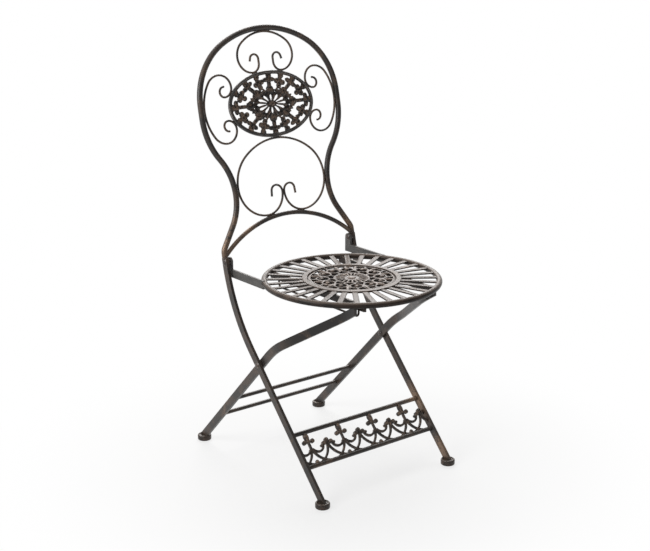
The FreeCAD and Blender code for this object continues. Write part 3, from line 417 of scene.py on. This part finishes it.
# a knob at a place in the casting's own plane, with its half sizes and its turn in the plane
def knob(x, y, height, reach, turn=0.0):
    return {"at": (x * mm, y * mm, height * mm), "reach": [half * mm for half in reach], "turn": (0, 0, turn)}


# a rounded rib along a closed oval line
def ovalRib(halfWide, halfHigh, height, tube, x=0.0, y=0.0, steps=96, sides=10):
    return {"half": (halfWide, halfHigh), "middle": (x, y, height), "tube": tube,
            "steps": steps, "sides": sides}


def addRib(work, rib, plane):
    halfWide, halfHigh = rib["half"]
    x, y, height = rib["middle"]
    rows = []
    for step in range(rib["steps"]):
        angle = math.tau * step / rib["steps"]
        outward = Vector((math.cos(angle) / halfWide, math.sin(angle) / halfHigh, 0)).normalized()
        line = Vector((x + halfWide * math.cos(angle), y + halfHigh * math.sin(angle), height))
        row = []
        for side in range(rib["sides"]):
            turn = math.tau * side / rib["sides"]
            spot = line + outward * rib["tube"][0] * math.cos(turn)
            spot.z += rib["tube"][1] * math.sin(turn)
            row.append(work.verts.new(plane @ (spot * mm)))
        rows.append(row)
    for step, row in enumerate(rows):
        following = rows[(step + 1) % len(rows)]
        for side in range(len(row)):
            beside = (side + 1) % len(row)
            work.faces.new((row[side], following[side], following[beside], row[beside]))


def planeAt(origin, up):
    along = Vector((1, 0, 0))
    up = Vector(up).normalized()
    front = along.cross(up)
    turned = Matrix((along, up, front)).transposed().to_4x4()
    return Matrix.Translation(Vector(origin) * mm) @ turned


# slopes a round casting's rim down to the ring that holds it
def lowerRim(work, plane, look):
    toPlane = plane.inverted()
    down = plane.to_3x3() @ Vector((0, 0, -look["rimDrop"] * mm))
    for vertex in work.verts:
        spot = toPlane @ vertex.co / mm
        if spot.xy.length > look["rimFrom"] and spot.z > look["rimHigh"]:
            vertex.co += down


# a casting is worn more, the further it stands out of its plane, and the painted highlight on its upper faces
# keeps to the same raised work, leaving its recesses in painted shade
def markWear(mesh, plane, look):
    toPlane = plane.inverted()
    low, high = look["wearFrom"], look["wearTo"]
    layer = mesh.attributes.new("wear", "FLOAT", "POINT")
    for vertex, value in zip(mesh.vertices, layer.data):
        height = (toPlane @ vertex.co).z / mm
        value.value = min(1.0, max(0.0, (height - low) / (high - low)))


def castPiece(node, plane, knobs, ribs, look):
    work = merged(node)
    raised = grown(node + "Knobs", castKnobs, knobFaces, seedMesh(node + "Seeds", knobs))
    raised.transform(plane)
    work.from_mesh(raised)
    for rib in ribs:
        addRib(work, rib, plane)
    if "rimDrop" in look:
        lowerRim(work, plane, look)
    bmesh.ops.recalc_face_normals(work, faces=work.faces)
    holder = bpy.data.objects.new(node + "Cast", asMesh(node + "Cast", work))
    scene.collection.objects.link(holder)
    remesh = holder.modifiers.new("runTogether", "REMESH")
    remesh.mode = "VOXEL"
    remesh.voxel_size = look["grain"] * mm
    soften = holder.modifiers.new("soften", "SMOOTH")
    soften.factor = softenFactor
    soften.iterations = look["soften"]
    mesh = evaluated(holder)
    markWear(mesh, plane, look)
    mesh.shade_smooth()
    settleNode(node, mesh)
    print(node, "cast,", len(knobs), "knobs,", len(mesh.polygons), "faces")


def headingOf(way):
    return math.atan2(way.y, way.x)


def polar(reach, angle):
    return reach * math.cos(angle), reach * math.sin(angle)


# Back rosette: crosses and trefoils in turn round the oval, and a ribbed flower in the hub
backFoot = (0.0, 145.0, 485.0)
backUp = (0.0, 0.2096, 0.9778)
rosette = {
    "up": 306, "halfWide": 108.5, "halfHigh": 66.5, "hubWide": 60.0, "hubHigh": 32.0, "front": 2.0,
    "places": 16, "footDepth": 3.6, "footKnob": (5.6, 8.2, 2.8), "boss": (9.0, 6.0, 3.2),
    "heartDepth": 17.0, "heartKnob": (8.8, 8.8, 3.0), "tipDepth": 27.4, "tipKnob": (6.4, 6.4, 3.8),
    "lobeSpread": 8.9, "lobeKnob": (6.3, 6.3, 4.0),
    "crossDepth": 12.5, "crossKnob": (7.4, 7.4, 3.6), "armMiddle": 8.0, "armReach": (7.6, 4.9, 3.0),
    "rootShare": 0.96, "rootKnob": (8.8, 8.8, 3.2), "spokeWide": 4.6, "spokeHigh": 2.8,
    "leaves": 32, "leafShare": 0.97, "leafRib": (6.6, 2.7, 3.0),
    "petals": 12, "petalSpan": (0.20, 0.76), "petalRib": (2.7, 2.0),
    "hubRibInset": 1.5, "hubRibTube": (1.8, 1.5),
    "edgeRibOutset": 1.0, "edgeRibHeight": 1.6, "edgeRibTube": (1.6, 1.6),
    "grain": 0.90, "soften": 3, "wearFrom": 2.6, "wearTo": 5.4}


# places at equal steps along an oval, each with its way out of the oval
def ovalPlaces(halfWide, halfHigh, count, fine=3600):
    angles = [math.tau * step / fine for step in range(fine + 1)]
    points = [Vector((halfWide * math.cos(angle), halfHigh * math.sin(angle))) for angle in angles]
    lengths = [0.0]
    for before, after in zip(points, points[1:]):
        lengths.append(lengths[-1] + (after - before).length)
    places = []
    step = 0
    for index in range(count):
        while lengths[step] < lengths[-1] * index / count:
            step += 1
        point = points[step]
        normal = math.atan2(point.y / halfHigh ** 2, point.x / halfWide ** 2)
        places.append((point, (headingOf(point) + normal) / 2))
    return places


def trefoilKnobs(look, point, out):
    top = look["front"]
    across = Vector((-out.y, out.x))
    heart = point - out * look["heartDepth"]
    tip = point - out * look["tipDepth"]
    lobes = [heart + across * side * look["lobeSpread"] for side in (-1, 1)]
    return [knob(*heart, top, look["heartKnob"]), knob(*tip, top, look["tipKnob"]),
            *[knob(*lobe, top, look["lobeKnob"]) for lobe in lobes]]


# a cross near the oval's edge, and the spoke from it to the hub
def crossKnobs(look, point, out, heading):
    top = look["front"]
    across = Vector((-out.y, out.x))
    centre = point - out * look["crossDepth"]
    arms = [centre + across * side * look["armMiddle"] for side in (-1, 1)]
    rootX = point.x / look["halfWide"] * look["hubWide"]
    rootY = point.y / look["halfHigh"] * look["hubHigh"]
    root = Vector((rootX, rootY))
    spoke = (centre - root) / 2
    spokeReach = (spoke.length, look["spokeWide"], look["spokeHigh"])
    return [knob(*centre, top, look["crossKnob"]),
            *[knob(*arm, top, look["armReach"], heading + math.pi / 2) for arm in arms],
            knob(*(root * look["rootShare"]), top, look["rootKnob"]),
            knob(*(root + spoke), top, spokeReach, headingOf(spoke))]


def hubRays(look, count):
    wide, high = look["hubWide"], look["hubHigh"]
    angles = [math.tau * (index + 0.5) / count for index in range(count)]
    return [Vector((wide * math.cos(angle), high * math.sin(angle))) for angle in angles]


def rosetteKnobs(look):
    top = look["front"]
    knobs = [knob(0, 0, top, look["boss"])]
    for index, (point, heading) in enumerate(ovalPlaces(look["halfWide"], look["halfHigh"], look["places"])):
        out = Vector(polar(1.0, heading))
        knobs.append(knob(*(point - out * look["footDepth"]), top, look["footKnob"], heading))
        knobs += trefoilKnobs(look, point, out) if index % 2 else crossKnobs(look, point, out, heading)
    for ray in hubRays(look, look["leaves"]):
        knobs.append(knob(*(ray * look["leafShare"]), top, look["leafRib"], headingOf(ray)))
    inner, outer = look["petalSpan"]
    for ray in hubRays(look, look["petals"]):
        half = ray.length * (outer - inner) / 2
        knobs.append(knob(*(ray * (inner + outer) / 2), top, (half, *look["petalRib"]), headingOf(ray)))
    return knobs


def rosetteRibs(look):
    inset, outset = look["hubRibInset"], look["edgeRibOutset"]
    return [ovalRib(look["hubWide"] - inset, look["hubHigh"] - inset, look["front"], look["hubRibTube"]),
            ovalRib(look["halfWide"] + outset, look["halfHigh"] + outset, look["edgeRibHeight"],
                    look["edgeRibTube"])]


rosetteMiddle = [foot + rosette["up"] * up for foot, up in zip(backFoot, backUp)]
rosettePlane = planeAt(rosetteMiddle, backUp)
castPiece("back_rosette", rosettePlane, rosetteKnobs(rosette), rosetteRibs(rosette), rosette)

# Seat medallion: a flower of petals, and scrolls with leaves between them round it
medallion = {
    "front": 2.5, "boss": (9.5, 9.5, 3.4), "petals": 20, "petalMiddle": 26.5, "petalRib": (12.0, 2.5, 2.0),
    "eyeRadius": 38.0, "eyeSink": 0.6, "eyeTube": (1.8, 1.8),
    "scrolls": 12, "scrollMiddle": 63.0, "scrollRadius": 14.1, "scrollSink": 0.8, "scrollTube": (2.3, 2.4),
    "scrollSteps": 36, "ballMiddle": 66.0, "ball": (5.3, 5.3, 3.6),
    "leafMiddle": 77.0, "leafRib": (13.5, 3.4, 2.6), "rimFrom": 95.5, "rimHigh": 3.5, "rimDrop": 2.4,
    "grain": 0.95, "soften": 4, "wearFrom": 1.6, "wearTo": 4.6}


def medallionWork(look):
    top = look["front"]
    eye, radius = look["eyeRadius"], look["scrollRadius"]
    knobs = [knob(0, 0, top, look["boss"])]
    ribs = [ovalRib(eye, eye, top - look["eyeSink"], look["eyeTube"])]
    for petal in range(look["petals"]):
        angle = math.tau * petal / look["petals"]
        knobs.append(knob(*polar(look["petalMiddle"], angle), top, look["petalRib"], angle))
    for scroll in range(look["scrolls"]):
        angle = math.tau * scroll / look["scrolls"]
        knobs.append(knob(*polar(look["ballMiddle"], angle), top, look["ball"]))
        ribs.append(ovalRib(radius, radius, top - look["scrollSink"], look["scrollTube"],
                            *polar(look["scrollMiddle"], angle), look["scrollSteps"]))
        angle += math.pi / look["scrolls"]
        knobs.append(knob(*polar(look["leafMiddle"], angle), top, look["leafRib"], angle))
    return knobs, ribs


castPiece("seat_medallion", planeAt(seatMiddle, (0.0, 1.0, 0.0)), *medallionWork(medallion), medallion)

# Fleur strip: tall fleurs-de-lis and short ones in turn, cut off where the strip ends
fleurs = {
    "origin": (0.0, -149.1, 70.0), "up": (0.0, 0.6788, 0.7343), "front": 3.0,
    "middle": -13.5, "pitch": 89.5, "tall": 4, "short": 5, "reach": 171.0,
    "leafMiddle": 64.5, "leafRib": (12.0, 4.4, 2.6), "dropMiddle": 5.0, "dropRib": (6.0, 3.2, 1.8),
    "tallBall": (10.5, 54.0), "collar": (6.0, 2.2, 2.0),
    "headHeight": 47.5, "shortKnob": (9.5, 41.5), "endBall": (16.4, 38.0), "endKnob": (3.4, 3.4, 2.0),
    "ball": (2.3, 2.3, 2.2), "curl": (3.9, 1.3, 1.5), "curlSteps": 24,
    "grain": 0.75, "soften": 3, "wearFrom": 2.8, "wearTo": 5.6}


def fleurRow(look, count):
    return [look["middle"] + look["pitch"] * (index - (count - 1) / 2) for index in range(count)]


def fleurWork(look):
    top = look["front"]
    ballAside, ballHeight = look["tallBall"]
    knobAside, knobHeight = look["shortKnob"]
    endAside, endHeight = look["endBall"]
    knobs = []
    curls = []
    for x in fleurRow(look, look["tall"]):
        knobs.append(knob(x, look["leafMiddle"], top, look["leafRib"], math.pi / 2))
        knobs.append(knob(x, look["dropMiddle"], top, look["dropRib"], math.pi / 2))
        knobs.append(knob(x, ballHeight, top, look["collar"]))
        curls += [(x + side * ballAside, ballHeight) for side in (-1, 1)]
    for x in fleurRow(look, look["short"]):
        curls.append((x, look["headHeight"]))
        for side in (-1, 1):
            curls.append((x + side * knobAside, knobHeight))
            if abs(x + side * endAside) < look["reach"]:
                knobs.append(knob(x + side * endAside, endHeight, top, look["endKnob"]))
    curls = [(x, y) for x, y in curls if abs(x) < look["reach"]]
    knobs += [knob(x, y, top, look["ball"]) for x, y in curls]
    radius, *tube = look["curl"]
    return knobs, [ovalRib(radius, radius, top, tube, x, y, look["curlSteps"]) for x, y in curls]


castPiece("fleur_panel", planeAt(fleurs["origin"], fleurs["up"]), *fleurWork(fleurs), fleurs)

# Bars and rods: copies of the solids with eased edges, whose bevels carry the wear and, on the oval ring, a
# painted highlight, and rubbed wires
bars = {
    "eased": {"front_leg": 0.9, "rear_leg": 0.9, "seat_bracket": 0.7, "seat_rail": 0.6,
              "seat_inner_ring": 1.4, "back_oval_ring": 1.8},
    "edgeSteps": 3, "edgeRound": 0.5, "edgeWear": 1.0, "wireWear": 0.9,
    "crease": math.radians(38), "flat": math.radians(0.5)}
madeNodes = ("back_rosette", "seat_medallion", "fleur_panel", "seat_slats")


def softened(node):
    work = merged(node)
    wear = work.faces.layers.float.new("wear")
    for face in work.faces:
        face[wear] = bars["wireWear"] if "scroll" in node else 0.0
    eased = bars["eased"].get(kindOf(node))
    if eased:
        bmesh.ops.dissolve_limit(work, angle_limit=bars["flat"], verts=work.verts, edges=work.edges)
        sharp = [edge for edge in work.edges if edge.is_manifold and edge.calc_face_angle() > bars["crease"]]
        made = bmesh.ops.bevel(work, geom=sharp, offset=eased * mm, segments=bars["edgeSteps"],
                               profile=bars["edgeRound"], affect="EDGES", clamp_overlap=True)
        for face in made["faces"]:
            face[wear] = bars["edgeWear"]
    for face in work.faces:
        face.smooth = True
    for edge in work.edges:
        faces = edge.link_faces
        if len(faces) == 2:
            edge.smooth = edge.calc_face_angle() < bars["crease"] and faces[0][wear] == faces[1][wear]
    return asMesh(node, work)


for node in sorted(frame["nodes"]):
    if node not in madeNodes:
        settleNode(node, softened(node))
print("bars and rods eased,", len(bars["eased"]), "kinds with bevels")

# Welds: rows of small lumps along the seams where one solid meets another, a star standing for both sides
welds = {
    "lump": {"Sides": 8, "Rows": 5, "Seed": 5}, "least": 0.65, "most": 1.25, "spacing": 0.9, "gap": 0.0009,
    "seams": [
        ("top_scroll", "back_hoop", 2.6), ("top_scroll", "back_oval_ring", 2.2),
        ("side_scroll_*", "back_hoop", 2.6), ("side_scroll_*", "back_oval_ring", 2.2),
        ("lower_scroll", "back_hoop", 2.6), ("lower_scroll", "back_oval_ring", 2.2),
        ("lower_scroll", "back_arch", 2.6), ("back_arch", "back_hoop", 3.4),
        ("front_leg_*", "back_hoop", 3.2), ("front_foot_*", "front_leg_*", 3.2),
        ("rear_foot_*", "rear_leg_*", 3.2),
        ("panel_top_rail", "front_leg_*", 2.4), ("panel_bottom_rail", "front_leg_*", 2.4),
        ("rear_cross_rod_upper", "rear_leg_*", 2.4), ("rear_cross_rod_lower", "rear_leg_*", 2.4),
        ("seat_bracket_*", "seat_ring", 2.6), ("seat_rail_*", "seat_ring", 2.4)]}


def bothSides(first, second):
    if "*" not in first + second:
        return [(first, second)]
    return [(first.replace("*", side), second.replace("*", side)) for side in ("left", "right")]


def seamSpots(first, second, lumpSize):
    meshes = [merged(first), merged(second)]
    apart = lumpSize * welds["spacing"] * mm
    spots = []
    for one, other in (meshes, meshes[::-1]):
        tree = BVHTree.FromBMesh(other)
        for vertex in one.verts:
            hit = tree.find_nearest(vertex.co, welds["gap"])
            if hit[0] and all((vertex.co - spot).length > apart for spot in spots):
                spots.append(vertex.co.copy())
    for mesh in meshes:
        mesh.free()
    return spots


def weldTree():
    tree, size = newTree("weldLumps", welds["lump"])
    start = Wire(tree)
    least, most = [(welds[share],) * 3 for share in ("least", "most")]
    lump = start.node("GeometryNodeMeshUVSphere", {}, {
        "Segments": size["Sides"], "Rings": size["Rows"], "Radius": 1.0})
    reach = start.node("GeometryNodeInputNamedAttribute", {"data_type": "FLOAT_VECTOR"}, {"Name": "reach"})
    uneven = start.node("FunctionNodeRandomValue", {"data_type": "FLOAT_VECTOR"}, {
        0: least, 1: most, "Seed": size["Seed"]})
    scaled = start.node("ShaderNodeVectorMath", {"operation": "MULTIPLY"}, {0: reach, 1: uneven})
    turn = start.node("FunctionNodeRandomValue", {"data_type": "FLOAT_VECTOR"}, {
        0: (0.0, 0.0, 0.0), 1: (math.tau, math.tau, math.tau), "Seed": size["Seed"] + 1})
    facing = start.node("FunctionNodeEulerToRotation", {}, {"Euler": turn})
    lumps = start.node("GeometryNodeInstanceOnPoints", {}, {
        "Points": size["Geometry"], "Instance": lump, "Rotation": facing, "Scale": scaled})
    closeTree(tree, lumps, slotPaint["rivet_paint"])
    return tree


weldLumps = weldTree()
weldSpots = {}
for first, second, lumpSize in welds["seams"]:
    half = lumpSize * mm / 2
    for one, other in bothSides(first, second):
        found = seamSpots(one, other, lumpSize)
        weldSpots.setdefault(bodyOf[one], []).extend(
            {"at": spot, "reach": (half, half, half), "turn": (0, 0, 0)} for spot in found)
for body, spots in sorted(weldSpots.items()):
    lumpMesh = grown("welds", weldLumps, welds["lump"], seedMesh("weldSeeds", spots))
    settle("welds_" + body, lumpMesh, "rivet_paint", body)
    print("welds on", body, len(spots))

# Floor, light and camera
studio = {
    "floorHalf": 30.0, "floorTone": rgb(0.88, 0.875, 0.87),
    "nearFrom": 0.10, "nearTo": 0.80, "shadowShare": 0.32,
    "roomTone": rgb(1.0, 1.0, 1.0), "ambient": 0.20,
    "brightSide": (-0.36, 0.80, 0.48), "dimSide": 0.26, "fadeFrom": -0.55, "fadeTo": 0.35}


def rayShares(start):
    ray = start.node("ShaderNodeLightPath")
    camera, glossy, through = [Wire(start.tree, ray.socket.node.outputs[name]) for name in (
        "Is Camera Ray", "Is Glossy Ray", "Is Transmission Ray")]
    return start.maths("MAXIMUM", camera, through), glossy


def paleFloor():
    mesh = bpy.data.meshes.new("floor")
    half = studio["floorHalf"]
    corners = [(-half, -half, 0), (half, -half, 0), (half, half, 0), (-half, half, 0)]
    mesh.from_pydata(corners, [], [(0, 1, 2, 3)])
    floor = bpy.data.objects.new("floor", mesh)
    scene.collection.objects.link(floor)
    material = bpy.data.materials.new("paleFloor")
    material.use_nodes = True
    tree = material.node_tree
    tree.nodes.clear()
    start = Wire(tree)
    place = start.node("ShaderNodeTexCoord", out="Object")
    reach = place.node("ShaderNodeVectorMath", {"operation": "LENGTH"}, {0: place}, out="Value")
    near = 1 - between(reach, studio["nearFrom"], studio["nearTo"])
    matt = start.node("ShaderNodeBsdfDiffuse", {}, {"Color": studio["floorTone"]})
    white = start.node("ShaderNodeEmission", {}, {"Color": rgb(1, 1, 1), "Strength": 1.0})
    seen, mirrored = rayShares(start)
    share = start.maths("MAXIMUM", seen, mirrored) * (1 - near * studio["shadowShare"])
    shader = start.node("ShaderNodeMixShader", {}, {0: share, 1: matt, 2: white})
    start.node("ShaderNodeOutputMaterial", {}, {"Surface": shader})
    mesh.materials.append(material)


# the room is white all round to look at, and mirrored brightest on the side away from the camera
def whiteWorld():
    world = bpy.data.worlds.new("studio")
    scene.world = world
    world.use_nodes = True
    world.node_tree.nodes.clear()
    start = Wire(world.node_tree)
    seen, mirrored = rayShares(start)
    way = start.node("ShaderNodeTexCoord", out="Generated")
    toward = start.node("ShaderNodeVectorMath", {"operation": "DOT_PRODUCT"}, {
        0: way, 1: studio["brightSide"]}, out="Value")
    dim = studio["dimSide"]
    bright = between(toward, studio["fadeFrom"], studio["fadeTo"]) * (1 - dim) + dim
    shown = start.maths("MAXIMUM", seen, mirrored * bright)
    sky = start.node("ShaderNodeBackground", {}, {
        "Color": studio["roomTone"], "Strength": start.maths("MAXIMUM", shown, studio["ambient"])})
    start.node("ShaderNodeOutputWorld", {}, {"Surface": sky})


lampAim = Vector((0.0, 0.0, 0.45))
lamps = {"keyLamp": {"place": (-2.5, 0.3, 1.8), "width": 1.6, "power": 36},
         "overheadLamp": {"place": (1.3, 1.8, 2.3), "width": 2.8, "power": 84}}


def softLamp(name, place, width, power):
    data = bpy.data.lights.new(name, "AREA")
    data.shape = "DISK"
    data.size = width
    data.energy = power
    lamp = bpy.data.objects.new(name, data)
    lamp.location = place
    lamp.rotation_euler = (lampAim - Vector(place)).to_track_quat("-Z", "Y").to_euler()
    scene.collection.objects.link(lamp)


paleFloor()
whiteWorld()
for name, lamp in lamps.items():
    softLamp(name, **lamp)

photoCamera = {
    "place": (-1.8117, -2.2717, 1.2803), "look": (0.5959, 0.7523, -0.2810), "lens": 76.03, "sensor": 36.0}
camera = bpy.data.objects.new("camera", bpy.data.cameras.new("camera"))
camera.data.sensor_width = photoCamera["sensor"]
camera.data.lens = photoCamera["lens"]
camera.location = photoCamera["place"]
camera.rotation_euler = Vector(photoCamera["look"]).to_track_quat("-Z", "Y").to_euler()
scene.collection.objects.link(camera)
scene.camera = camera
print("stage, lamps and camera set")
